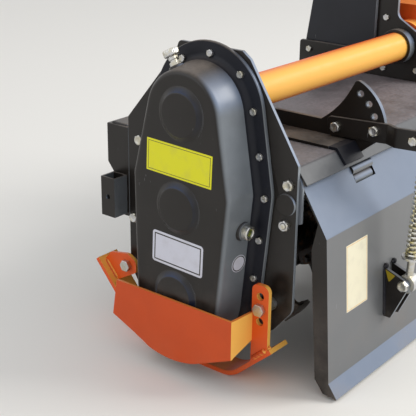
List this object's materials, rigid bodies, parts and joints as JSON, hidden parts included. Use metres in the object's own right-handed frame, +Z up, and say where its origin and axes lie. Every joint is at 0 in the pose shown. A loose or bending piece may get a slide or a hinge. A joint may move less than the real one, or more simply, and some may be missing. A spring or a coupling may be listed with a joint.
{
  "type": "tractor rotary tiller",
  "caption": "Three-point-hitch rotary tiller with side gear drive, bladed rotor, hood, skids and a sprung tailgate.",
  "frame": {"origin": "on the floor, under the middle of the bounding box", "axes": "+X to the machine's right, +Y forward to the tractor, +Z up"},
  "size_m": [2.004, 0.7495, 0.9099],
  "materials": {
    "black_paint": "gloss",
    "orange_paint": "gloss",
    "zinc_plate": "satin",
    "black_plastic": "matte",
    "bare_steel": "machined",
    "rotor_paint": "worn",
    "spring_steel": "satin"
  },
  "bodies": {
    "root": {"side_plate_left": "black_paint", "side_plate_right": "black_paint", "hood": "black_paint", "front_beam": "black_paint", "stand_socket": "black_paint", "gear_case": "black_paint", "breather_plug": "zinc_plate", "level_plug": "zinc_plate", "drive_tube": "orange_paint", "support_tube": "orange_paint", "tube_flange_left": "black_paint", "tube_flange_right": "black_paint", "gearbox": "orange_paint", "gearbox_mount": "black_paint", "pto_shield": "black_plastic", "mast_plate_left": "black_paint", "mast_plate_right": "black_paint", "mast_spacer": "black_paint", "mast_brace_left": "black_paint", "mast_brace_right": "black_paint", "hitch_bracket_left": "black_paint", "hitch_bracket_right": "black_paint", "hitch_pin_left": "zinc_plate", "hitch_pin_right": "zinc_plate", "skid_left": "orange_paint", "skid_right": "orange_paint", "skid_guard": "orange_paint", "skid_bolts_left": "zinc_plate", "skid_bolts_right": "zinc_plate", "hinge_brackets": "black_paint", "hinge_rod": "zinc_plate", "bearing_left": "black_paint", "bearing_right": "black_paint", "spring_arm_left": "black_paint", "sector_plate_left": "black_paint", "spring_arm_right": "black_paint", "sector_plate_right": "black_paint"},
    "rotor": {"rotor": "rotor_paint"},
    "pto_shaft": {"pto_shaft": "bare_steel"},
    "tailgate": {"tailgate": "black_paint", "gate_ears_left": "black_paint", "gate_ears_right": "black_paint"},
    "rod_left": {"spring_rod_left": "zinc_plate", "rod_spring_left": "spring_steel"},
    "swivel_left": {"rod_swivel_left": "black_paint"},
    "rod_right": {"spring_rod_right": "zinc_plate", "rod_spring_right": "spring_steel"},
    "swivel_right": {"rod_swivel_right": "black_paint"}
  },
  "joints": [
    {"name": "rotor_spin", "type": "hinge", "parent": "root", "child": "rotor", "pos_m": [0.03, 0.018, 0.174], "axis": [1, 0, 0], "continuous": true},
    {"name": "input_spin", "type": "hinge", "parent": "root", "child": "pto_shaft", "pos_m": [0.03, 0.158, 0.56369], "axis": [0, 1, 0], "continuous": true},
    {"name": "tailgate_lift", "type": "hinge", "parent": "root", "child": "tailgate", "pos_m": [0.03, -0.218, 0.406], "axis": [-1, 0, 0], "range_deg": [0, 40]},
    {"name": "rod_turn_left", "type": "hinge", "parent": "tailgate", "child": "rod_left", "pos_m": [-0.634, -0.333, 0.184], "axis": [1, 0, 0], "range_deg": [0, 16], "deforming": ["rod_spring_left"]},
    {"name": "swivel_turn_left", "type": "hinge", "parent": "root", "child": "swivel_left", "pos_m": [-0.634, -0.35, 0.516], "axis": [-1, 0, 0], "range_deg": [0, 30]},
    {"name": "rod_turn_right", "type": "hinge", "parent": "tailgate", "child": "rod_right", "pos_m": [0.694, -0.333, 0.184], "axis": [1, 0, 0], "range_deg": [0, 16], "deforming": ["rod_spring_right"]},
    {"name": "swivel_turn_right", "type": "hinge", "parent": "root", "child": "swivel_right", "pos_m": [0.694, -0.35, 0.516], "axis": [-1, 0, 0], "range_deg": [0, 30]}
  ],
  "couplings": [
    {"joint": "input_spin", "follows": "rotor_spin", "ratio": -2.4},
    {"joint": "rod_turn_left", "follows": "tailgate_lift", "ratio": 0.3},
    {"joint": "swivel_turn_left", "follows": "tailgate_lift", "ratio": 0.7},
    {"joint": "rod_turn_right", "follows": "tailgate_lift", "ratio": 0.3},
    {"joint": "swivel_turn_right", "follows": "tailgate_lift", "ratio": 0.7}
  ]
}
